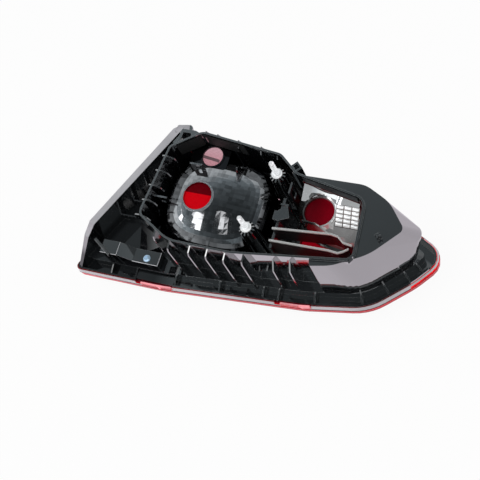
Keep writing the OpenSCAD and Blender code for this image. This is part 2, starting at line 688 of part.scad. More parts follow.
module bracket_screw() color([0.6, 0.72, 0.85]) {
    translate([screw_at[0], screw_at[1], bracket_low + fit_gap]) difference() {
        union() {
            cylinder(r = 4.2, h = 1);
            translate([0, 0, 1]) cylinder(r1 = 3.8, r2 = 2.6, h = 1.6);
            translate([0, 0, -11]) cylinder(r = screw_r, h = 12);
        }
        for (a = [0, 90]) rotate([0, 0, a]) translate([-2, -0.45, 1.4]) cube([4, 0.9, 2]);
    }
}

housing();
lens_red();
lens_clear();
lens_seal();
bezel();
main_reflector();
reverse_reflector();
side_reflector();
reflector_carrier();
upper_baffle();
lower_baffle();
side_filter();
inner_filter();
inner_diffuser();
reflex_reflector();
stud_a();
stud_b();
fixing_bracket();
bracket_screw();
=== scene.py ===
"""Tail light cluster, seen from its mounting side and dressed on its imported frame."""

import json
import logging
import math
from dataclasses import dataclass
from enum import Enum
from typing import Callable, Sequence

import bmesh
import bpy
from mathutils import Matrix, Vector

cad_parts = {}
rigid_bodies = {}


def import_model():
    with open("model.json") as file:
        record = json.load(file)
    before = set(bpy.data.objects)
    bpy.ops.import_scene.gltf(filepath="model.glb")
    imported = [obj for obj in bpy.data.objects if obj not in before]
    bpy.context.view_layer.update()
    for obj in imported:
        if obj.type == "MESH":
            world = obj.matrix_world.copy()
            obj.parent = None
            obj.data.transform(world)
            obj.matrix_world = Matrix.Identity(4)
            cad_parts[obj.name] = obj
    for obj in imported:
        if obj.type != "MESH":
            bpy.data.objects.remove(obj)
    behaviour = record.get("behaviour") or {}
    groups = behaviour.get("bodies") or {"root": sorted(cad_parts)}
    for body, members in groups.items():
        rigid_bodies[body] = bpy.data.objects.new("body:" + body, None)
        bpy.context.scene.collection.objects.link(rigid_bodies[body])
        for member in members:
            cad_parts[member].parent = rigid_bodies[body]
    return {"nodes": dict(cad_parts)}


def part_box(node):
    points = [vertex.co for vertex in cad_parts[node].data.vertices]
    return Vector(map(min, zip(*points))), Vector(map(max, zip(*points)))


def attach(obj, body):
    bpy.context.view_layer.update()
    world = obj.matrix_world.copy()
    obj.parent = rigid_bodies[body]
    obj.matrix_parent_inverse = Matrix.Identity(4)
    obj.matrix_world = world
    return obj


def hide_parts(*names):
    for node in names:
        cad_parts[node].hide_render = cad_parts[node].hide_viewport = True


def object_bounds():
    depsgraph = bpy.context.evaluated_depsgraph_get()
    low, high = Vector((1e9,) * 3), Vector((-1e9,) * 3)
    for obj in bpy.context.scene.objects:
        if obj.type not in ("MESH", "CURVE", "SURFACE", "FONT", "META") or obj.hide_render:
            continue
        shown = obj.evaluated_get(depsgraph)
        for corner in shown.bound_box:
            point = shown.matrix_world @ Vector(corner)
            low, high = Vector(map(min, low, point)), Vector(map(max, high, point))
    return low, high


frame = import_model()
CAD_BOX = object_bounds()

LOG = logging.getLogger("tail_light")
Colour = tuple[float, float, float]
Point = tuple[float, float, float]
Pair = tuple[float, float]
Circle = tuple[float, float, float]
Socket = bpy.types.NodeSocket
Value = Socket | float | Sequence[float]
MERGE = 0.00001
NEAR = 0.0005


class Grain(Enum):
    """Roughness of the moulded surface of a plastic piece."""

    GLOSS = 0.05
    SATIN = 0.28


class Prisms(Enum):
    """Axes along which prisms follow each other on a lens or filter."""

    GRID = "XY"
    FLUTES = "X"
    PLAIN = ""


def grey(level: float) -> Colour:
    """Give the neutral colour of a level."""
    return (level, level, level)


def scaled(colour: Colour, factor: float) -> Colour:
    """Give a lighter or darker shade of a colour."""
    return tuple(part * factor for part in colour)


class NodeSheet:
    """The node tree of a material or a sky, with short calls that hand on output sockets."""

    def __init__(self, owner: bpy.types.Material | bpy.types.World) -> None:
        """Empty the tree, and give a material its Principled shader.

        Args:
            owner: Material or world that holds the tree.
        """
        owner.use_nodes = True
        self.owner = owner
        self.tree = owner.node_tree
        self.tree.nodes.clear()
        self.place = self.tree.nodes.new("ShaderNodeTexCoord").outputs
        self.sky = isinstance(owner, bpy.types.World)
        self.shader = None if self.sky else self.tree.nodes.new("ShaderNodeBsdfPrincipled")

    def show(self, surface: Socket) -> None:
        """Lead a shader to the output of the tree."""
        self.add("OutputWorld" if self.sky else "OutputMaterial", {"Surface": surface}, None)

    def put(self, node: bpy.types.Node, values: dict[str | int, Value]) -> None:
        """Set or link sockets of a node.

        Args:
            node: The node.
            values: What goes into each socket, by the socket's name or number.
        """
        for key, value in values.items():
            if isinstance(value, Socket):
                self.tree.links.new(value, node.inputs[key])
            else:
                node.inputs[key].default_value = value

    def shade(self, **values: Value) -> None:
        """Set or link sockets of the shader; an underscore in a name stands for a space."""
        self.put(self.shader, {key.replace("_", " "): value for key, value in values.items()})

    def add(self, kind: str, values: dict[str | int, Value], out: str | int | None = 0,
            **settings: object) -> Socket | None:
        """Add a node.

        Args:
            kind: Blender's name for the node type, without its first word.
            values: What goes into each socket.
            out: Name or number of the output to hand on.
            settings: Properties of the node to set.

        Returns:
            That output, if any.
        """
        node = self.tree.nodes.new("ShaderNode" + kind)
        for key, value in settings.items():
            setattr(node, key, value)
        self.put(node, values)
        return None if out is None else node.outputs[out]

    def along(self, axis: str, source: Socket | None = None) -> Socket:
        """Hand on one part of a vector, by default of the place on the piece."""
        return self.add("SeparateXYZ", {"Vector": source or self.place["Object"]}, axis)

    def ray(self, kind: str) -> Socket:
        """Give one to rays of a kind and zero to all others."""
        return self.add("LightPath", {}, f"Is {kind} Ray")

    def noise(self, scale: float, detail: float = 3.0, stretch: Point = (1, 1, 1)) -> Socket:
        """Give a noise with so many cells per metre and octaves, scaled by axis for a grain."""
        place = self.add("Mapping", {"Vector": self.place["Object"], "Scale": stretch})
        return self.add("TexNoise", {"Vector": place, "Scale": scale, "Detail": detail}, "Fac")

    def ramp(self, source: Socket, *stops: tuple[float, Colour]) -> Socket:
        """Turn a value into a colour.

        Args:
            source: The value.
            stops: Position and colour of each stop.

        Returns:
            The colour.
        """
        colour = self.add("ValToRGB", {"Fac": source}, "Color")
        band = colour.node.color_ramp
        while len(band.elements) < len(stops):
            band.elements.new(0.5)
        for element, (position, tone) in zip(band.elements, stops):
            element.position = position
            element.color = (*tone, 1.0)
        return colour

    def span(self, source: Socket, low: float, high: float, start: float = 0.3, end: float = 0.7) -> Socket:
        """Map a value, so that start gives low and end gives high."""
        return self.add("MapRange", {"Value": source, "From Min": start, "From Max": end,
                                     "To Min": low, "To Max": high}, "Result")

    def maths(self, operation: str, *inputs: Value) -> Socket:
        """Work out a sum, named as Blender names it, from sockets or numbers."""
        return self.add("Math", dict(enumerate(inputs)), operation=operation)

    def tint(self, mode: str, first: Value, second: Value, share: Value = 1.0) -> Socket:
        """Mix two colours in a way that Blender names, by the share of the second."""
        return self.add("Mix", {"Factor": share, "A": first, "B": second}, "Result", data_type="RGBA", blend_type=mode)

    def bump(self, height: Socket, strength: float, distance: float, below: Socket | None = None) -> Socket:
        """Add a relief that leads to the shader's normal.

        Args:
            height: Height of the relief, as a share.
            strength: Strength of the bump.
            distance: Height of the relief in metres.
            below: Normal that the relief starts from.

        Returns:
            The new normal.
        """
        values = {"Strength": strength, "Distance": distance, "Height": height}
        if below:
            values["Normal"] = below
        normal = self.add("Bump", values, "Normal")
        self.shade(Normal=normal)
        return normal

    def away(self, source: Socket, middle: Point) -> Socket:
        """Give the distance from a point."""
        return self.add("VectorMath", {0: source, 1: middle}, "Value", operation="DISTANCE")

    def circle(self, x: float, y: float, radius: float, soft: float) -> Socket:
        """Give a mask that is one inside an upright cylinder and fades to none over its soft edge."""
        flat = self.add("Mapping", {"Vector": self.place["Object"], "Scale": (1.0, 1.0, 0.0)})
        return self.span(self.away(flat, (x, y, 0.0)), 1.0, 0.0, radius, radius + soft)

    def rounded(self, radius: float) -> Socket:
        """Give a normal that catches light along edges, as a moulding radius does."""
        return self.add("Bevel", {"Radius": radius}, "Normal", samples=4)


@dataclass(frozen=True)
class Finish:
    """What all finishes share: a name, and a material that they paint."""

    name: str

    def material(self) -> bpy.types.Material:
        """Build the material.

        Returns:
            The material.
        """
        sheet = NodeSheet(bpy.data.materials.new(self.name))
        self.paint(sheet)
        sheet.show(sheet.shader.outputs["BSDF"])
        return sheet.owner

    def paint(self, sheet: NodeSheet) -> None:
        """Set the shader, as each finish does in its own way."""
        raise NotImplementedError(self.name)


@dataclass(frozen=True)
class Moulding(Finish):
    """Injection-moulded plastic with a gloss and slight sink waves, duller in its recess."""

    colour: Colour
    grain: Grain = Grain.GLOSS
    coat: float = 1.0
    coat_ior: float = 3.2
    edge_radius: float = 0.0005
    wave: float = 0.12
    recess: Pair | None = None
    recess_coat: float = 0.15

    def paint(self, sheet: NodeSheet) -> None:
        """Set the plastic, its coat and its waves.

        Args:
            sheet: Node tree to add to.
        """
        grain = self.grain.value
        light = tuple(min(1.0, part * 1.3 + 0.002) for part in self.colour)
        sheet.shade(Base_Color=sheet.ramp(sheet.noise(14.0, 4.0), (0.3, scaled(self.colour, 0.8)), (0.7, light)),
                    Roughness=sheet.span(sheet.noise(60.0, 5.0), grain * 0.8, grain * 1.3),
                    IOR=1.5, Coat_Weight=self.coat, Coat_IOR=self.coat_ior, Coat_Roughness=0.02)
        if self.recess:
            masks = [sheet.span(sheet.along(axis), self.recess_coat, self.coat, at - soft, at + soft)
                     for axis, at, soft in zip("XZ", self.recess, (0.015, 0.004))]
            sheet.shade(Coat_Weight=sheet.maths("MAXIMUM", *masks))
        waves = sheet.bump(sheet.noise(22.0, 1.0), self.wave, 0.0012, sheet.rounded(self.edge_radius))
        sheet.shade(Coat_Normal=waves)
        sheet.bump(sheet.noise(900.0, 2.0), 0.05, 0.0001, waves)


@dataclass(frozen=True)
class Metallised(Finish):
    """Vacuum-metallised plastic: a mirror with a painted reflection, one tone near a point and another further off."""

    painted_near: Colour
    painted_far: Colour
    zone: Point = (0.09, 0.04, -0.03)
    reach: float = 0.06
    fade: Pair | None = None
    ring: Circle | None = None
    roughness: float = 0.06
    edge_radius: float = 0.0003
    dimples: float = 0.05
    metallic: float = 1.0
    glow: float = 0.0
    glow_at: Circle = (0.0, 0.0, 10.0)
    cell: float = 0.0
    upright: Colour | None = None

    def paint(self, sheet: NodeSheet) -> None:
        """Set the mirror's tone with its painted reflection and shade, its wear, its dimples and its painted glow.

        Args:
            sheet: Node tree to add to.
        """
        # Painted reflection: the mirror is painted one tone near the zone's point and fades to another further off.
        away = sheet.away(sheet.place["Object"], self.zone)
        mottled = sheet.maths("MULTIPLY_ADD", sheet.noise(38.0, 4.0), 0.02, away)
        painted_falloff = sheet.span(mottled, 0.0, 1.0, self.reach * 0.6, self.reach)
        tone = sheet.ramp(painted_falloff, (0.0, self.painted_near), (1.0, self.painted_far))
        # Painted shade: the mirror is painted darker towards +X, down to a tenth of its tone.
        if self.fade:
            tone = sheet.tint("MULTIPLY", tone, sheet.span(sheet.along("X"), 1.0, 0.1, *self.fade))
        # Painted reflection: a random shade on each facet.
        if self.cell:
            tone = self.cells(sheet, tone)
        # Painted shade: steep faces are mixed towards the dark upright colour.
        if self.upright:
            rise = sheet.maths("ABSOLUTE", sheet.along("Z", sheet.add("NewGeometry", {}, "True Normal")))
            tone = sheet.tint("MIX", tone, (*self.upright, 1.0), sheet.span(rise, 1.0, 0.0, 0.15, 0.30))
        if self.ring:
            tone = sheet.tint("MIX", tone, (0.62, 0.62, 0.64, 1.0), sheet.circle(*self.ring, 0.0004))
        wear = sheet.span(sheet.noise(140.0, 5.0), self.roughness * 0.7, self.roughness * 1.6)
        sheet.shade(Base_Color=tone, Roughness=wear, Metallic=self.metallic)
        # Painted light: the mirror glows inside a circle, though it is no lamp.
        if self.glow:
            shine = sheet.span(sheet.circle(*self.glow_at, 0.01), 0.0, self.glow, 0.0, 1.0)
            sheet.shade(Emission_Color=tone, Emission_Strength=shine)
        sheet.bump(sheet.noise(70.0, 2.0), self.dimples, 0.0008, sheet.rounded(self.edge_radius))

    def cells(self, sheet: NodeSheet, below: Socket) -> Socket:
        """Paint each facet its own random shade, a painted reflection for facets that lean a little differently.

        Args:
            sheet: Node tree to add to.
            below: Colour without the shades.

        Returns:
            The colour with the shades.
        """
        snap = sheet.add("VectorMath", {0: sheet.place["Object"], 1: (self.cell, self.cell, 1.0)}, operation="SNAP")
        chance = sheet.add("TexWhiteNoise", {"Vector": snap}, "Value")
        return sheet.tint("MULTIPLY", below, sheet.span(chance, 0.62, 1.0, 0.0, 1.0))


@dataclass(frozen=True)
class EdgePlated(Finish):
    """Black plate whose edge above a height is bright metal with a painted glow on it, with a ragged line between."""

    dark: Colour
    height: float
    bright: Colour = (0.92, 0.90, 0.88)
    glow: float = 0.22

    def paint(self, sheet: NodeSheet) -> None:
        """Set the plate and its edge, with the edge's painted glow.

        Args:
            sheet: Node tree to add to.
        """
        level = sheet.maths("MULTIPLY_ADD", sheet.noise(160.0, 3.0), 0.0016, sheet.along("Z"))
        mask = sheet.span(level, 0.0, 1.0, self.height, self.height + 0.0009)
        tone = sheet.ramp(mask, (0.0, self.dark), (1.0, self.bright))
        dull = sheet.span(mask, 0.32, 0.10, 0.0, 1.0)
        # Painted highlight: the edge glows on top of its bright metal, though it is no lamp.
        sheet.shade(Base_Color=tone, Metallic=mask, Emission_Color=tone,
                    Emission_Strength=sheet.span(mask, 0.0, self.glow, 0.0, 1.0),
                    Roughness=sheet.maths("MULTIPLY_ADD", sheet.noise(140.0, 5.0), 0.05, dull))
        sheet.bump(sheet.noise(60.0, 2.0), 0.06, 0.0008, sheet.rounded(0.0006))


@dataclass(frozen=True)
class Optic(Finish):
    """Coloured clear plastic with prisms moulded into its face, one colour on each side of a line, and a painted glow.
    """

    colour: Colour
    low_side_colour: Colour
    pitch: float = 0.003
    axis: str = "Z"
    edge: Pair = (-0.0950, -0.0945)
    prisms: Prisms = Prisms.GRID
    roughness: float = 0.04
    depth: float = 0.0006
    glow: float = 0.0
    transmission: float = 1.0
    ior: float = 1.49
    lit: Circle | None = None

    @classmethod
    def plain(cls, name: str, colour: Colour, **more: object) -> "Optic":
        """Give a finish of one colour without prisms."""
        return cls(name, colour, colour, prisms=Prisms.PLAIN, **more)

    def paint(self, sheet: NodeSheet) -> None:
        """Set the colour, the painted glow and the prisms.

        Args:
            sheet: Node tree to add to.
        """
        cloud = sheet.noise(60.0, 3.0)
        side = sheet.span(sheet.along(self.axis), 0.0, 1.0, *self.edge)
        tone = sheet.ramp(sheet.maths("MULTIPLY_ADD", cloud, 0.14, side), (0.03, self.low_side_colour), (1.0, self.colour))
        # Painted shade: the colour goes black outside the lit circle.
        if self.lit:
            tone = sheet.tint("MULTIPLY", tone, sheet.circle(*self.lit, 0.004))
        sheet.shade(Base_Color=tone, Roughness=self.roughness, IOR=self.ior, Transmission_Weight=self.transmission)
        waves = None
        for axis in self.prisms.value:
            turn = sheet.maths("MULTIPLY", sheet.along(axis), math.pi / self.pitch)
            wave = sheet.maths("ABSOLUTE", sheet.maths("SINE", turn))
            waves = sheet.maths("ADD", waves, wave) if waves else wave
        # Painted light: the plastic glows, though it is no lamp.
        if self.glow:
            shade = sheet.span(waves, 0.72, 1.1, 0.2, 1.6) if waves else cloud
            sheet.shade(Emission_Color=sheet.tint("MULTIPLY", tone, shade), Emission_Strength=self.glow)
        if waves:
            sheet.bump(waves, 0.8, self.depth)
        else:
            sheet.bump(sheet.noise(30.0, 1.0), 0.05, 0.001)


@dataclass(frozen=True)
class Plated(Finish):
    """Plated steel with fine tumbling marks and a painted glow."""

    colour: Colour
    roughness: float
    metallic: float
    glow: float

    def paint(self, sheet: NodeSheet) -> None:
        """Set the metal, its marks and its painted glow.

        Args:
            sheet: Node tree to add to.
        """
        tone = sheet.ramp(sheet.noise(220.0, 4.0), (0.3, scaled(self.colour, 0.78)), (0.65, self.colour))
        marks = sheet.noise(1400.0, 3.0, (1, 1, 0.25))
        # Painted light: the metal glows in its own colour, though it is no lamp.
        sheet.shade(Base_Color=tone, Emission_Color=tone, Emission_Strength=self.glow, Metallic=self.metallic, IOR=1.8,
                    Roughness=sheet.span(marks, self.roughness * 0.7, self.roughness * 1.5))
        sheet.bump(marks, 0.12, 0.00008, sheet.rounded(0.0002))


@dataclass(frozen=True)
class Rubber(Finish):
    """Soft black rubber, or plastic as dull as it."""

    colour: Colour

    def paint(self, sheet: NodeSheet) -> None:
        """Set the cloudy rubber.

        Args:
            sheet: Node tree to add to.
        """
        tone = sheet.ramp(sheet.noise(120.0, 4.0), (0.35, self.colour), (0.75, scaled(self.colour, 1.5)))
        sheet.shade(Base_Color=tone, Roughness=0.7, IOR=1.5)
        sheet.bump(sheet.noise(1500.0, 3.0), 0.2, 0.0002)


SILVER = (grey(0.96), (0.90, 0.90, 0.91))
# Colour, roughness, metallic and painted glow of the zinc studs.
ZINC = ((0.95, 0.96, 0.97), 0.25, 0.6, 0.28)
FINISHES = {
    "housing": Moulding("housing_black", (0.0045, 0.005, 0.006), edge_radius=0.0003, recess=(-0.105, -0.060)),
    # Painted light: the lens glows, though it is no lamp.
    "lens_red": Optic("lens_red", (0.85, 0.02, 0.03), (0.15, 0.0, 0.004), 0.0026, prisms=Prisms.FLUTES,
                      roughness=0.03, depth=0.0002, glow=0.18, ior=1.25),
    "lens_clear": Optic("lens_clear", (0.97, 0.80, 0.82), (0.9, 0.62, 0.66), 0.0026, prisms=Prisms.FLUTES,
                        roughness=0.03, depth=0.0003),
    "lens_seal": Rubber("seal_black", grey(0.018)),
    "bezel": Moulding("bezel_black", (0.012, 0.012, 0.014), Grain.SATIN, 0.5),
    # Painted reflection and shade: bright near one point and dim elsewhere, darker towards +X, on steep faces and on
    # random facets.
    "main_reflector": Metallised("smoked_mirror", (0.80, 0.80, 0.82), (0.42, 0.425, 0.44),
                                 (-0.088, -0.008, -0.040), 0.046, (-0.012, 0.004), (-0.0735, 0.0318, 0.0182),
                                 edge_radius=0.0006, cell=0.0043, upright=(0.035, 0.030, 0.032)),
    # Painted reflection: the reverse reflector is bright near one point and dark elsewhere.
    "reverse_reflector": Metallised("dark_mirror", (0.85, 0.80, 0.81), (0.05, 0.05, 0.055),
                                    (-0.080, 0.088, -0.062), 0.034),
    # Painted reflection and light: the side reflector is bright near one point, dark further off, and glows inside a
    # circle.
    "side_reflector": Metallised("bright_mirror", grey(0.96), grey(0.12), reach=0.05, metallic=0.9, glow=0.15,
                                 glow_at=(0.094, 0.040, 0.024)),
    "reflector_carrier": Moulding("carrier_slate", (0.012, 0.015, 0.018), Grain.SATIN, 0.8),
    "upper_baffle": EdgePlated("baffle_upper", (0.012, 0.010, 0.011), -0.0112),
    "lower_baffle": EdgePlated("baffle_lower", (0.03, 0.012, 0.014), -0.0130),
    # Painted light: the filters and the diffuser glow, though they are no lamps.
    "side_filter": Optic.plain("filter_red", (0.30, 0.002, 0.008), roughness=0.1, glow=0.05),
    # Painted light and shade: bright on the near side of its line, dark on the far side, black outside the lit circle,
    # and glowing.
    "inner_filter": Optic("filter_grid", (0.075, 0.0, 0.003), (0.62, 0.001, 0.006), 0.0024, "Y", (0.0535, 0.0545),
                          roughness=0.1, glow=0.2, transmission=0.4, lit=(-0.100, 0.054, 0.026)),
    "inner_diffuser": Optic("diffuser_pink", (0.85, 0.52, 0.56), (0.85, 0.42, 0.46), 0.0022, "Y", (0.084, 0.086),
                            roughness=0.12, glow=0.1, transmission=0.4),
    "reflex_reflector": Optic("reflex_red", (0.8, 0.01, 0.02), (0.6, 0.005, 0.01), 0.004, roughness=0.05,
                              depth=0.0008),
    "stud_a": Plated("stud_zinc_a", *ZINC),
    "stud_b": Plated("stud_zinc_b", *ZINC),
    "fixing_bracket": Moulding("bracket_black", (0.004, 0.0045, 0.005), coat=0.55, edge_radius=0.0009),
    # Painted light: the screw glows a little, though it is no lamp.
    "bracket_screw": Plated("screw_blue_zinc", (0.52, 0.70, 0.88), 0.15, 0.8, 0.25),
}


def alone(piece: bpy.types.Object) -> None:
    """Select one object and make it the active one.

    Args:
        piece: Object to select.
    """
    if bpy.context.mode != "OBJECT":
        bpy.ops.object.mode_set(mode="OBJECT")
    bpy.ops.object.select_all(action="DESELECT")
    piece.select_set(True)
    bpy.context.view_layer.objects.active = piece


def twin(source: bpy.types.Object, name: str) -> bpy.types.Object:
    """Copy an object with its mesh.

    Args:
        source: Object to copy.
        name: Name of the copy.

    Returns:
        The copy, in the scene.
    """
    copy = bpy.data.objects.new(name, source.data.copy())
    bpy.context.scene.collection.objects.link(copy)
    return copy


def move(dx: float = 0.0, dy: float = 0.0, dz: float = 0.0) -> None:
    """Move what is selected in edit mode."""
    bpy.ops.transform.translate(value=(dx, dy, dz))


class Blank:
    """A mesh that is being shaped in edit mode."""

    def __init__(self, piece: bpy.types.Object) -> None:
        """Open an object in edit mode with all of it selected.

        Args:
            piece: Object to shape.
        """
        self.piece = piece
        alone(piece)
        bpy.ops.object.mode_set(mode="EDIT")
        self.all()

    @classmethod
    def from_node(cls, node: str, name: str) -> "Blank":
        """Start from a merged copy of a CAD node.

        Args:
            node: Name of the node.
            name: Name of the new piece.

        Returns:
            The copy, open in edit mode with all of it selected.
        """
        copy = twin(frame["nodes"][node], name)
        copy.data.materials.clear()
        blank = cls(copy)
        bpy.ops.mesh.remove_doubles(threshold=MERGE)
        return blank

    @classmethod
    def fresh(cls, name: str) -> "Blank":
        """Name and open the primitive that was just added."""
        bpy.context.object.name = name
        return cls(bpy.context.object)

    @classmethod
    def point(cls, name: str, at: Point) -> "Blank":
        """Start from a single vertex, for a profile.

        Args:
            name: Name of the piece.
            at: Place of the vertex.

        Returns:
            The vertex, open in edit mode and selected.
        """
        bpy.ops.mesh.primitive_plane_add(size=0.001)
        blank = cls.fresh(name)
        bpy.ops.mesh.select_mode(type="VERT")
        blank.all()
        bpy.ops.mesh.merge(type="CENTER")
        move(*at)
        return blank

    def all(self) -> None:
        """Select all of the mesh."""
        bpy.ops.mesh.select_all(action="SELECT")

    def outward(self) -> None:
        """Turn all normals outward."""
        self.all()
        bpy.ops.mesh.normals_make_consistent(inside=False)

    def seal(self) -> None:
        """Fill all holes and turn the normals outward."""
        self.all()
        bpy.ops.mesh.fill_holes(sides=0)
        self.outward()

    def pick(self, kind: str, test: Callable[[object], bool]) -> int:
        """Select the vertices, edges or faces that pass a test.

        Args:
            kind: VERT, EDGE or FACE.
            test: Says of one element whether it is wanted.

        Returns:
            How many are selected.
        """
        bpy.ops.mesh.select_all(action="DESELECT")
        bpy.ops.mesh.select_mode(type=kind)
        shape = bmesh.from_edit_mesh(self.piece.data)
        items = {"VERT": shape.verts, "EDGE": shape.edges, "FACE": shape.faces}[kind]
        wanted = [item for item in items if test(item)]
        for item in wanted:
            item.select_set(True)
        bmesh.update_edit_mesh(self.piece.data)
        return len(wanted)

    def keep_picked(self, kind: str) -> None:
        """Delete all that isn't selected.

        Args:
            kind: VERT, EDGE or FACE.
        """
        bpy.ops.mesh.select_all(action="INVERT")
        bpy.ops.mesh.delete(type=kind)
        self.all()

    def extrude(self, dx: float = 0.0, dz: float = 0.0) -> None:
        """Extrude what is selected and move it."""
        bpy.ops.mesh.extrude_region_move(TRANSFORM_OT_translate={"value": (dx, 0.0, dz)})

    def close(self) -> bpy.types.Object:
        """Leave edit mode and return the object."""
        bpy.ops.object.mode_set(mode="OBJECT")
        return self.piece


def modify(piece: bpy.types.Object, kind: str, **settings: object) -> None:
    """Add a modifier and apply it.

    Args:
        piece: Object to modify.
        kind: Blender's name for the modifier type.
        settings: Properties of the modifier.
    """
    alone(piece)
    step = piece.modifiers.new(kind.lower(), kind)
    for key, value in settings.items():
        setattr(step, key, value)
    bpy.ops.object.modifier_apply(modifier=step.name)


def fit(piece: bpy.types.Object, finish: Finish, smooth: float = 40.0) -> None:
    """Dress a new piece and fix it to the lamp.

    Args:
        piece: The new piece.
        finish: Finish that makes its material.
        smooth: Angle in degrees under which its faces are shaded smooth.
    """
    alone(piece)
    bpy.ops.object.shade_smooth_by_angle(angle=math.radians(smooth))
    piece.data.materials.clear()
    piece.data.materials.append(finish.material())
    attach(piece, "root")
    LOG.info("%s: %d faces", piece.name, len(piece.data.polygons))


@dataclass
class LensRim:
    """Sloping face of the rim above the lens, painted pale as a reflection, a bead of painted shadow round the lens,
    and its tabs.
    """

    wall_top: float = -0.0780
    section: float = -0.0880
    lens_gap: float = 0.0024
    lap: float = 0.00035
    skin: float = 0.0003
    drop: float = 0.0001
    tip: float = 0.168
    near_side: float = -0.03
    # Painted reflection: the pale grey of the rim's sloping faces.
    paint: Colour = (0.46, 0.46, 0.47)
    notches: tuple[Pair, ...] = ((-0.142, -0.095), (0.027, 0.069))
    notch_floor: float = -0.0832
    notch_line: float = -0.060
    notch_block: Pair = (0.03, 0.02)
    tab_foot: float = -0.0853
    tab_lift: float = 0.0002
    tab_frame: float = 0.0014
    tab_hollow: float = 0.0001
    tab_area: float = 0.0001
    sill_height: float = 0.0012
    # Height and radius of the bead of painted shadow round the lens.
    shadow_bead_at: float = -0.0858
    shadow_bead_radius: float = 0.0004

    def build(self) -> None:
        """Make the faces, the bead of painted shadow, the tabs and their sills."""
        line = self.outline()
        strip = self.face(line, "rim_face", 0.0006, -0.0846, False)
        for notch in self.notches:
            self.cut(strip, *notch)
        for piece in (strip, self.face(line, "rim_face_tip", 0.0010, -0.0803, True)):
            fit(piece, Moulding(piece.name, self.paint, coat_ior=1.8), 30.0)
        # Painted light: the red band at the tip glows, though it is no lamp.
        fit(self.face(line, "lens_tip_band", 0.0022, -0.0854, True),
            Optic.plain("lens_tip_band", (0.80, 0.006, 0.01), transmission=0.5, glow=0.5, ior=1.15), 30.0)
        # The dark bead is a painted shadow line round the lens.
        self.groove(line)
        bpy.data.objects.remove(line)
        for name, notch in zip(("lens_tab_left", "lens_tab_right"), self.notches):
            self.tab(name, *notch)
            self.sill(name + "_sill", *notch)

    def outline(self) -> bpy.types.Object:
        """Cut the lens across its skirt.

        Returns:
            The outer line of the cut, as a mesh of edges.
        """
        blank = Blank.from_node("lens_red", "rim_line")
        bpy.ops.mesh.bisect(plane_co=(0, 0, self.section), plane_no=(0, 0, 1), clear_inner=True, clear_outer=True)
        shape = bmesh.from_edit_mesh(blank.piece.data)
        far_left = min(shape.verts, key=lambda v: v.co.x).index
        blank.pick("VERT", lambda v: v.index == far_left)
        bpy.ops.mesh.select_linked()
        blank.keep_picked("VERT")
        bpy.ops.mesh.dissolve_limited(angle_limit=math.radians(0.4))
        return blank.close()

    def face(self, line: bpy.types.Object, name: str, flare: float, foot: float, at_tip: bool) -> bpy.types.Object:
        """Make a sloping face that runs from the top of the rim wall towards the lens.

        Args:
            line: The outline.
            name: Name of the piece.
            flare: How far the foot of the face stands out from its top.
            foot: Height of the foot.
            at_tip: Whether the face is the one at the tip of the lamp.

        Returns:
            The face, with a thickness.
        """
        blank = Blank(twin(line, name))
        bpy.ops.mesh.edge_face_add()
        blank.outward()
        shape = bmesh.from_edit_mesh(blank.piece.data)
        if shape.faces[:][0].normal.z < 0:
            bpy.ops.mesh.flip_normals()
        bpy.ops.mesh.inset(thickness=self.lens_gap - flare)
        blank.keep_picked("FACE")
        move(dz=foot - self.section)
        bpy.ops.mesh.inset(thickness=flare + self.lap, depth=self.wall_top - foot - self.drop)
        bpy.ops.mesh.delete(type="ONLY_FACE")
        blank.all()
        bpy.ops.mesh.bisect(plane_co=(self.tip, 0, 0), plane_no=(1, 0, 0), clear_inner=at_tip, clear_outer=not at_tip)
        strip = blank.close()
        modify(strip, "SOLIDIFY", thickness=self.skin, offset=-1.0)
        return strip

    def cut(self, strip: bpy.types.Object, low: float, high: float) -> None:
        """Open the face where a lens tab stands.

        Args:
            strip: The face.
            low: Start of the notch along the lamp.
            high: End of the notch.
        """
        bpy.ops.mesh.primitive_cube_add(size=1.0)
        blank = Blank.fresh("notch_block")
        bpy.ops.transform.resize(value=(high - low, *self.notch_block))
        move((low + high) / 2, self.notch_line, self.notch_floor + self.notch_block[1] / 2)
        tool = blank.close()
        modify(strip, "BOOLEAN", operation="DIFFERENCE", solver="EXACT", object=tool)
        bpy.data.objects.remove(tool)

    def groove(self, line: bpy.types.Object) -> None:
        """Lay a dark bead round the lens as a painted shadow line, inside the lens's own box.

        Args:
            line: The outline.
        """
        blank = Blank(twin(line, "lens_groove"))
        move(dz=self.shadow_bead_at - self.section)
        bead = blank.close()
        bpy.ops.object.convert(target="CURVE")
        bead.data.bevel_depth = self.shadow_bead_radius
        bead.data.bevel_resolution = 2
        bpy.ops.object.convert(target="MESH")
        low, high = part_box("lens_red")
        for vert in bead.data.vertices:
            vert.co = Vector(min(max(c, a), b) for c, a, b in zip(vert.co, low, high))
        fit(bead, Optic.plain("lens_groove", (0.14, 0.002, 0.006), transmission=0.0, ior=1.15), 60.0)

    def beside(self, face: bmesh.types.BMFace, low: float, high: float) -> bool:
        """Say whether a face lies between two points along the near side of the lamp."""
        centre = face.calc_center_median()
        return low < centre.x < high and centre.y < self.near_side

    def tab(self, name: str, low: float, high: float) -> None:
        """Lay a clear cover with a raised frame over a tab of the lens, with a painted glow.

        Args:
            name: Name of the piece.
            low: Start of its notch along the lamp.
            high: End of the notch.
        """
        blank = Blank.from_node("lens_red", name)
        bpy.ops.mesh.dissolve_limited(angle_limit=math.radians(3.0))
        blank.pick("FACE", lambda f: self.beside(f, low, high) and f.calc_center_median().z > self.tab_foot)
        blank.keep_picked("FACE")
        bpy.ops.transform.shrink_fatten(value=self.tab_lift)
        blank.seal()
        blank.pick("FACE", lambda f: f.normal.y < -0.9 and f.calc_area() > self.tab_area)
        bpy.ops.mesh.inset(thickness=self.tab_frame, depth=-self.tab_hollow)
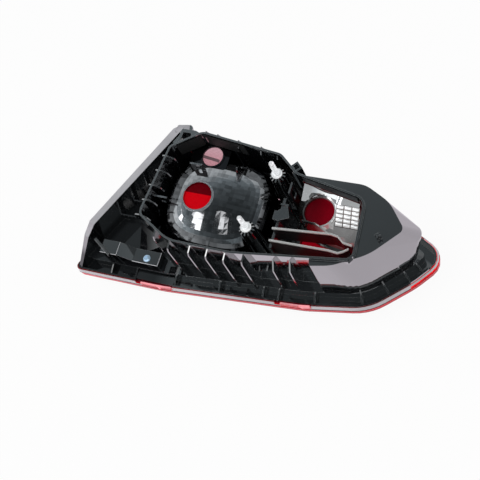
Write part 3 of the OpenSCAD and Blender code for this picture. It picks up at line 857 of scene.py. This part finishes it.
        # Pink above its line and red below; the glow is painted light.
        fit(blank.close(), Optic(name, (0.95, 0.36, 0.40), (0.95, 0.01, 0.02), edge=(-0.0846, -0.0834),
                                 prisms=Prisms.PLAIN, roughness=0.25, transmission=0.1, glow=0.6, ior=1.3))

    def sill(self, name: str, low: float, high: float) -> None:
        """Put the dark red foot of a tab into its notch.

        Args:
            name: Name of the piece.
            low: Start of the notch along the lamp.
            high: End of the notch.
        """
        blank = Blank.from_node("housing", name)
        blank.pick("FACE", lambda f: self.beside(f, low, high) and f.normal.z > 0.9
                   and abs(f.calc_center_median().z - self.notch_floor) < NEAR)
        blank.keep_picked("FACE")
        bpy.ops.mesh.dissolve_limited(angle_limit=math.radians(1.0))
        blank.extrude(dz=self.sill_height)
        blank.seal()
        fit(blank.close(), Optic.plain(name, (0.10, 0.0, 0.005), transmission=0.0))


@dataclass
class WingLip:
    """Painted light: a paler matt sheet along the top of the wing's lip, where light falls on it."""

    foot: Pair = (-0.222, -0.061)
    along: Pair = (0.4472, 0.8944)
    reach: float = 0.013
    lowest: float = -0.0700
    level: float = 0.80
    lift: float = 0.00015
    skin: float = 0.0001

    def build(self) -> None:
        """Copy the top faces of the lip and lay them on it as a sheet of painted light."""
        blank = Blank.from_node("housing", "wing_lip_sheen")
        count = blank.pick("FACE", self.wanted)
        blank.keep_picked("FACE")
        move(dz=self.lift)
        piece = blank.close()
        LOG.info("%d faces of the lip", count)
        modify(piece, "SOLIDIFY", thickness=self.skin, offset=1.0)
        # Painted light: the sheet is paler than the black housing under it.
        fit(piece, Moulding("wing_lip_sheen", (0.42, 0.41, 0.44), Grain.SATIN, 0.3))

    def wanted(self, face: bmesh.types.BMFace) -> bool:
        """Say whether a face is on top of the lip.

        Args:
            face: Face to judge.

        Returns:
            True if it is.
        """
        centre = face.calc_center_median()
        away = (centre.x - self.foot[0]) * self.along[1] - (centre.y - self.foot[1]) * self.along[0]
        return face.normal.z > self.level and away < self.reach and centre.z > self.lowest


@dataclass(frozen=True)
class Disc:
    """Place, radius and finish of a disc behind a bulb hole, which bears the finish's name."""

    at: Point
    radius: float
    slot: str
    finish: Finish
    corners: int = 56
    thickness: float = 0.0012
    edge: Pair = (0.0006, 0.0002)

    def build(self) -> None:
        """Make the disc with a rounded edge."""
        bpy.ops.mesh.primitive_cylinder_add(vertices=self.corners, radius=self.radius, depth=self.thickness)
        blank = Blank.fresh(self.finish.name)
        move(*self.at)
        blank.pick("FACE", lambda f: f.normal.z > 0.9)
        bpy.ops.mesh.inset(thickness=self.edge[0], depth=self.edge[1])
        fit(blank.close(), self.finish)


@dataclass(frozen=True)
class Bar:
    """Middle, size and finish of a bar, which bears the finish's name.

    Its far end stands further across than its near end, by the skew.
    """

    at: Point
    size: Point
    skew: float
    slot: str
    finish: Finish

    def build(self) -> None:
        """Make the bar."""
        bpy.ops.mesh.primitive_cube_add(size=1.0)
        blank = Blank.fresh(self.finish.name)
        bpy.ops.transform.resize(value=self.size)
        move(*self.at)
        for side in (-1, 1):
            blank.pick("VERT", lambda v: (v.co.x - self.at[0]) * side > 0)
            move(dy=side * self.skew / 2)
        fit(blank.close(), self.finish)


@dataclass
class HoleOptics:
    """The optics that fill the view through the bulb holes, painted with light and shade and glowing, and bars that
    close narrow sight lines.
    """

    discs: tuple[Disc, ...] = (
        # Painted light and shade: the hole filter is bright on the near side of its line and dark on the far side; all
        # three discs glow, though they are no lamps.
        Disc((-0.0735, 0.0318, -0.0220), 0.0163, "lens_red", Optic(
            "hole_filter", (0.105, 0.0, 0.003), (0.60, 0.001, 0.006), 0.0013, "Y", (0.0352, 0.0360),
            roughness=0.3, glow=0.32, transmission=0.0, ior=1.12)),
        Disc((-0.0740, 0.0838, -0.0262), 0.0118, "lens_clear", Optic(
            "hole_diffuser", (0.62, 0.36, 0.41), (0.50, 0.24, 0.28), 0.0017, "Y", (0.080, 0.092),
            roughness=0.15, glow=0.42, transmission=0.0)),
        Disc((0.0665, 0.0393, -0.0240), 0.0163, "lens_red", Optic(
            "hole_side", (0.15, 0.0, 0.005), (0.075, 0.0, 0.003), 0.002, "X", (0.058, 0.076), Prisms.PLAIN,
            roughness=0.35, glow=0.42, transmission=0.0, ior=1.12)))
    bars: tuple[Bar, ...] = (
        # Painted light: the band over the diffuser glows, though it is no lamp.
        Bar((-0.0757, 0.0812, -0.0254), (0.0215, 0.0036, 0.0003), -0.0030, "lens_clear",
            Optic.plain("hole_band", (0.15, 0.09, 0.10), roughness=0.2, transmission=0.0, glow=0.3)),
        Bar((-0.0040, 0.0725, -0.0775), (0.0180, 0.0090, 0.0008), 0.0, "bezel_plastic",
            Rubber("bezel_web", grey(0.006))),
        Bar((-0.0580, 0.0952, -0.0130), (0.0520, 0.0008, 0.0200), -0.0063, "bezel_plastic",
            Rubber("wall_liner_far", grey(0.004))),
        Bar((-0.0983, 0.0880, -0.0130), (0.0240, 0.0008, 0.0200), 0.0168, "bezel_plastic",
            Rubber("wall_liner_left", grey(0.004))),
        Bar((0.1130, -0.0159, -0.0019), (0.0110, 0.0010, 0.0036), 0.0030, "housing_plastic",
            Rubber("corner_web", (0.020, 0.023, 0.026))),
        Bar((0.1190, -0.0134, -0.0030), (0.0030, 0.0014, 0.0058), 0.0048, "housing_plastic",
            Rubber("corner_web_side", (0.020, 0.023, 0.026))),
        Bar((0.0760, 0.0600, -0.0062), (0.0640, 0.0008, 0.0098), -0.0128, "housing_plastic",
            Rubber("wall_liner_side", (0.016, 0.018, 0.020))))
    # Middle and size of each painted highlight along the bracket's edges.
    bracket_highlights: tuple[tuple[Point, Point], ...] = (
        ((-0.1290, -0.0441, -0.0613), (0.0325, 0.0006, 0.0012)),
        ((-0.1129, -0.0360, -0.0611), (0.0005, 0.0160, 0.0008)),
        ((-0.1725, -0.0441, -0.0512), (0.0210, 0.0005, 0.0008)),
        ((-0.1622, -0.0360, -0.0510), (0.0005, 0.0160, 0.0004)))
    wall_web: Bar = Bar((0.0146, 0.0839, -0.0560), (0.0165, 0.0008, 0.0310), -0.0098, "bezel_plastic",
                        Rubber("wall_web", grey(0.004)))

    def build(self) -> None:
        """Make the discs, the bars and the painted highlights along the bracket's edges."""
        # Painted highlights: pale strips along the bracket's edges.
        highlights = [Bar(at, size, 0.0, "bracket_plastic", Moulding(f"bracket_highlight_{k}", (0.72, 0.72, 0.75), coat_ior=1.8))
                for k, (at, size) in enumerate(self.bracket_highlights)]
        for piece in (*self.discs, *self.bars, *highlights, self.wall_web):
            piece.build()


@dataclass
class SideOptics:
    """Cushions and apron of the bright reflector in the side chamber."""

    middle: Point = (0.0972, 0.0390, -0.0214)
    size: Pair = (0.0258, 0.0190)
    cells: tuple[int, int] = (3, 5)
    slope: float = 0.78
    insets: tuple[Pair, ...] = ((0.0005, 0.0), (0.0005, 0.0006), (0.0006, 0.0002))
    skin: float = 0.0004
    hole: Pair = (0.0665, 0.0393)
    clear: float = 0.0184
    columns: tuple[float, ...] = (
        0.044, 0.048, 0.054, 0.060, 0.0665, 0.073, 0.079, 0.085, 0.091, 0.097, 0.103, 0.109)
    wall_at: Pair = (0.106, 0.0532)
    wall_slope: float = 0.197
    near_line: float = 0.0478
    foot: float = -0.0195
    foot_rise: float = 0.0040
    rise_along: Pair = (0.070, 0.014)
    apron_slope: float = 0.6
    apron_top: float = -0.0134

    def build(self) -> None:
        """Make the cushions on their ground, and the apron."""
        self.cushions()
        self.apron()

    def plate(self, piece: bpy.types.Object, finish: Finish, smooth: float) -> None:
        """Give a sheet its thickness and its bright finish."""
        modify(piece, "SOLIDIFY", thickness=self.skin, offset=-1.0)
        fit(piece, finish, smooth)

    def patch(self, name: str, lift: float) -> Blank:
        """Make a sloping sheet of cells right of the bulb hole.

        Args:
            name: Name of the sheet.
            lift: How far it stands above the slope.

        Returns:
            The sheet, open in edit mode with all its faces selected.
        """
        across, rows = self.cells
        bpy.ops.mesh.primitive_grid_add(x_subdivisions=across, y_subdivisions=rows, size=1.0)
        blank = Blank.fresh(name)
        bpy.ops.transform.resize(value=(*self.size, 1.0))
        for row in range(rows + 1):
            y = (row / rows - 0.5) * self.size[1]
            blank.pick("VERT", lambda v: abs(v.co.y - y) < NEAR)
            move(dz=y * self.slope)
        blank.all()
        move(self.middle[0], self.middle[1], self.middle[2] + lift)
        bpy.ops.mesh.select_mode(type="FACE")
        blank.all()
        return blank

    def cushions(self) -> None:
        """Raise three columns of cushions on the slope and lay a darker ground under them."""
        brown = (0.20, 0.16, 0.15)
        ground = self.patch("side_ground", -self.skin).close()
        self.plate(ground, Metallised("ground_mirror", brown, brown, roughness=0.2), 20.0)
        blank = self.patch("side_cushions", 0.0)
        for k, (thickness, depth) in enumerate(self.insets):
            bpy.ops.mesh.inset(thickness=thickness, depth=depth, use_individual=True)
            if k == 0:
                blank.keep_picked("FACE")
        # Painted light: the cushions glow, though they are no lamp.
        self.plate(blank.close(), Metallised("tile_mirror", *SILVER, roughness=0.05, dimples=0.4, metallic=0.7,
                                             glow=0.35), 60.0)

    def ends(self, x: float) -> tuple[Pair, Pair]:
        """Work out where one column of the apron begins and ends.

        Args:
            x: Place of the column along the lamp.

        Returns:
            Place across the lamp and height, near the hole and at the wall.
        """
        wall = self.wall_at[1] + self.wall_slope * (self.wall_at[0] - x)
        reach = self.clear ** 2 - (x - self.hole[0]) ** 2
        near = max(self.near_line, self.hole[1] + math.sqrt(reach)) if reach > 0 else self.near_line
        start = self.foot + self.foot_rise * min(1.0, max(0.0, (x - self.rise_along[0]) / self.rise_along[1]))
        rise = min((wall - near) * self.apron_slope, self.apron_top - start)
        return (near, start), (wall, start + rise)

    def apron(self) -> None:
        """Close the gap between the reflector and the far wall with a sloping sheet."""
        last = len(self.columns) - 1
        bpy.ops.mesh.primitive_grid_add(x_subdivisions=last, y_subdivisions=1, size=1.0)
        blank = Blank.fresh("side_apron")
        for k, x in enumerate(self.columns):
            flat = k / last - 0.5
            for side, (y, z) in zip((-0.5, 0.5), self.ends(x)):
                blank.pick("VERT", lambda v: (v.co - Vector((flat, side, 0.0))).length < NEAR)
                move(x - flat, y - side, z)
        blank.outward()
        # Painted light: the apron glows, though it is no lamp.
        self.plate(blank.close(), Metallised("cushion_mirror", *SILVER, roughness=0.05, dimples=0.02, metallic=0.8,
                                             glow=0.15), 20.0)


@dataclass
class ThreadedStud:
    """Press-in stud with a rolled thread, in place of the plain one."""

    node: str
    at: Pair
    core: float = 0.00262
    crest: float = 0.0030
    pitch: float = 0.0010
    foot: float = -0.016
    flange: float = 0.0060
    flange_t: float = 0.0020
    bevel: float = 0.0003
    fillet: float = 0.0004
    end: tuple[Pair, ...] = (
        (0.0022, 0.0190), (0.0022, 0.0210), (0.0026, 0.0210), (0.0029, 0.0226), (0.0018, 0.0250), (0.0, 0.0250))
    thread_from: float = 0.0008
    flank: float = 0.00042
    land: float = 0.00016
    turns: int = 17
    steps: int = 28

    def build(self) -> None:
        """Turn the body, cut the thread and join them."""
        body = self.lathe(self.node + "_threaded", (
            (0.0, self.foot), (self.core, self.foot), (self.core, -self.flange_t),
            (self.flange - self.bevel, -self.flange_t), (self.flange, self.bevel - self.flange_t),
            (self.flange, -self.fillet), (self.flange - self.fillet, 0.0), (self.crest + self.bevel, 0.0),
            (self.core, self.fillet), (self.core, self.end[0][1]), *self.end))
        thread = self.thread()
        alone(body)
        thread.select_set(True)
        bpy.ops.object.join()
        fit(body, FINISHES[self.node], 35.0)
        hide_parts(self.node)

    def lathe(self, name: str, profile: Sequence[Pair]) -> bpy.types.Object:
        """Spin a profile round the stud's axis.

        Args:
            name: Name of the piece.
            profile: Radius and height of each corner, from bottom to top.

        Returns:
            The closed body.
        """
        blank = Blank.point(name, (self.at[0] + profile[0][0], self.at[1], profile[0][1]))
        for (r0, z0), (r1, z1) in zip(profile, profile[1:]):
            blank.extrude(dx=r1 - r0, dz=z1 - z0)
        blank.all()
        bpy.ops.mesh.spin(steps=40, angle=math.tau, center=(*self.at, 0.0), axis=(0, 0, 1))
        blank.all()
        bpy.ops.mesh.remove_doubles(threshold=MERGE)
        blank.outward()
        return blank.close()

    def thread(self) -> bpy.types.Object:
        """Wind one ridge of the thread up the shank.

        Returns:
            The ridge, turned along the whole thread.
        """
        depth = self.crest - self.core
        blank = Blank.point("thread_ridge", (self.core - 0.0001, 0.0, 0.0))
        for dr, dz in ((depth, self.flank), (0.0, self.land), (-depth, self.flank)):
            blank.extrude(dx=dr, dz=dz)
        ridge = blank.close()
        modify(ridge, "SCREW", axis="Z", angle=math.tau, screw_offset=self.pitch, iterations=self.turns,
               steps=self.steps, render_steps=self.steps, use_merge_vertices=True, use_smooth_shade=True)
        blank = Blank(ridge)
        blank.outward()
        move(*self.at, self.thread_from)
        return blank.close()


@dataclass
class Cluster:
    """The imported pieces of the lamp, each dressed in its finish."""

    finishes: dict[str, Finish]

    def dress(self) -> None:
        """Give each CAD node its material."""
        for name, node in frame["nodes"].items():
            finish = self.finishes[name]
            node.data.materials.clear()
            node.data.materials.append(finish.material())
            LOG.info("%s wears %s", name, finish.name)


@dataclass
class Studio:
    """White floor, plain soft light and the photograph's camera."""

    eye: Point = (0.39694, -0.34226, 0.95811)
    right: Point = (0.9137, 0.2961, -0.2786)
    up: Point = (-0.1771, 0.9068, 0.3828)
    back: Point = (0.3660, -0.3004, 0.8808)
    lens: float = 78.0
    sensor: float = 36.0
    floor_size: float = 30.0
    floor_gap: float = 0.001
    floor_glow: float = 0.94
    ring: tuple[Pair, ...] = (
        (0.0, 1.0), (0.62, 0.95), (0.74, 0.75), (0.82, 0.35), (0.89, 0.16), (0.96, 0.08), (1.0, 0.05))
    tints: Pair = (0.93, 0.98)
    cold_from: float = 0.8
    cold: float = 0.12
    fill: float = 0.55
    aim: Point = (0.0, 0.02, -0.04)
    lamps: tuple[tuple[str, Point, Pair, float, bool], ...] = (
        ("strip_lamp", (-0.62, -0.05, 1.38), (0.40, 0.13), 0.52, True),
        ("slit_lamp", (-0.90, -0.08, 1.20), (0.45, 0.05), 0.20, True),
        ("patch_lamp", (-0.20, -0.02, 1.50), (0.40, 0.12), 0.25, True),
        ("key_lamp", (-0.5, -0.5, 1.5), (1.1, 1.1), 10.0, False),
        ("side_lamp", (1.3, 0.6, 0.9), (0.9, 0.9), 5.0, False))

    def build(self) -> None:
        """Make the camera, floor, sky and lamps."""
        self.camera()
        self.floor()
        self.sky()
        for row in self.lamps:
            self.lamp(*row)
        bpy.context.scene.view_settings.view_transform = "Standard"

    def camera(self) -> None:
        """Make the camera that stands where the photographer's did."""
        data = bpy.data.cameras.new("camera")
        data.lens = self.lens
        data.sensor_width = self.sensor
        data.clip_start, data.clip_end = 0.05, 50.0
        camera = bpy.data.objects.new("camera", data)
        turn = Matrix((self.right, self.up, self.back)).transposed().to_4x4()
        camera.matrix_world = Matrix.Translation(self.eye) @ turn
        bpy.context.scene.collection.objects.link(camera)
        bpy.context.scene.camera = camera

    def floor(self) -> None:
        """Make the white floor under the lens, which shows white and keeps a faint shadow."""
        bpy.ops.mesh.primitive_plane_add(size=self.floor_size, location=(0.0, 0.0, CAD_BOX[0].z - self.floor_gap))
        plane = bpy.context.object
        plane.name = "floor"
        sheet = NodeSheet(bpy.data.materials.new("floor_white"))
        tone = sheet.ramp(sheet.noise(2.0, 2.0), (0.3, grey(0.86)), (0.7, grey(0.88)))
        sheet.shade(Base_Color=tone, Roughness=0.9)
        glossy = sheet.ray("Glossy")
        seen = sheet.maths("MAXIMUM", sheet.maths("MAXIMUM", sheet.ray("Camera"), glossy), sheet.ray("Transmission"))
        white = sheet.tint("MIX", (1.0, 1.0, 1.0, 1.0), (0.98, 0.915, 1.0, 1.0), glossy)
        glow = sheet.add("Emission", {"Color": white, "Strength": 1.0})
        share = sheet.maths("MULTIPLY", seen, self.floor_glow)
        sheet.show(sheet.add("MixShader", {0: share, 1: sheet.shader.outputs["BSDF"], 2: glow}))
        plane.data.materials.append(sheet.owner)

    def sky(self) -> None:
        """Make a sky that is white to the camera, pale at the horizon and dim overhead."""
        world = bpy.data.worlds.new("studio_sky")
        bpy.context.scene.world = world
        sheet = NodeSheet(world)
        stops = []
        for height, tone in self.ring:
            cold = self.cold if height > self.cold_from else 0.0
            stops.append((height, (tone * (self.tints[0] - cold), tone * (self.tints[1] - cold / 3), tone)))
        rise = sheet.along("Z", sheet.place["Generated"])
        mirror = sheet.add("Background", {"Color": sheet.ramp(rise, *stops)})
        plain = sheet.add("Background", {"Strength": self.fill})
        white = sheet.add("Background", {"Strength": 1.0})
        gloss = sheet.add("MixShader", {0: sheet.ray("Glossy"), 1: plain, 2: mirror})
        sheet.show(sheet.add("MixShader", {0: sheet.ray("Camera"), 1: gloss, 2: white}))

    def lamp(self, name: str, place: Point, size: Pair, power: float, mirrored: bool) -> None:
        """Add a soft lamp that looks at the object.

        Args:
            name: Name of the lamp.
            place: Where it hangs.
            size: Width and length of the lamp in metres.
            power: Power in watts.
            mirrored: Whether glossy faces show the lamp itself.
        """
        data = bpy.data.lights.new(name, "AREA")
        data.shape = "RECTANGLE"
        data.size, data.size_y = size
        data.energy = power
        lamp = bpy.data.objects.new(name, data)
        lamp.location = place
        lamp.rotation_euler = (Vector(self.aim) - Vector(place)).to_track_quat("-Z", "Y").to_euler()
        lamp.visible_glossy = mirrored
        bpy.context.scene.collection.objects.link(lamp)


def main() -> None:
    """Build the studio and the lamp."""
    logging.basicConfig(level=logging.INFO, format="%(message)s")
    Studio().build()
    Cluster(FINISHES).dress()
    LensRim().build()
    WingLip().build()
    HoleOptics().build()
    SideOptics().build()
    for node, at in (("stud_a", (0.0, 0.0)), ("stud_b", (0.015, 0.066))):
        ThreadedStud(node, at).build()


if __name__ == "__main__":
    main()
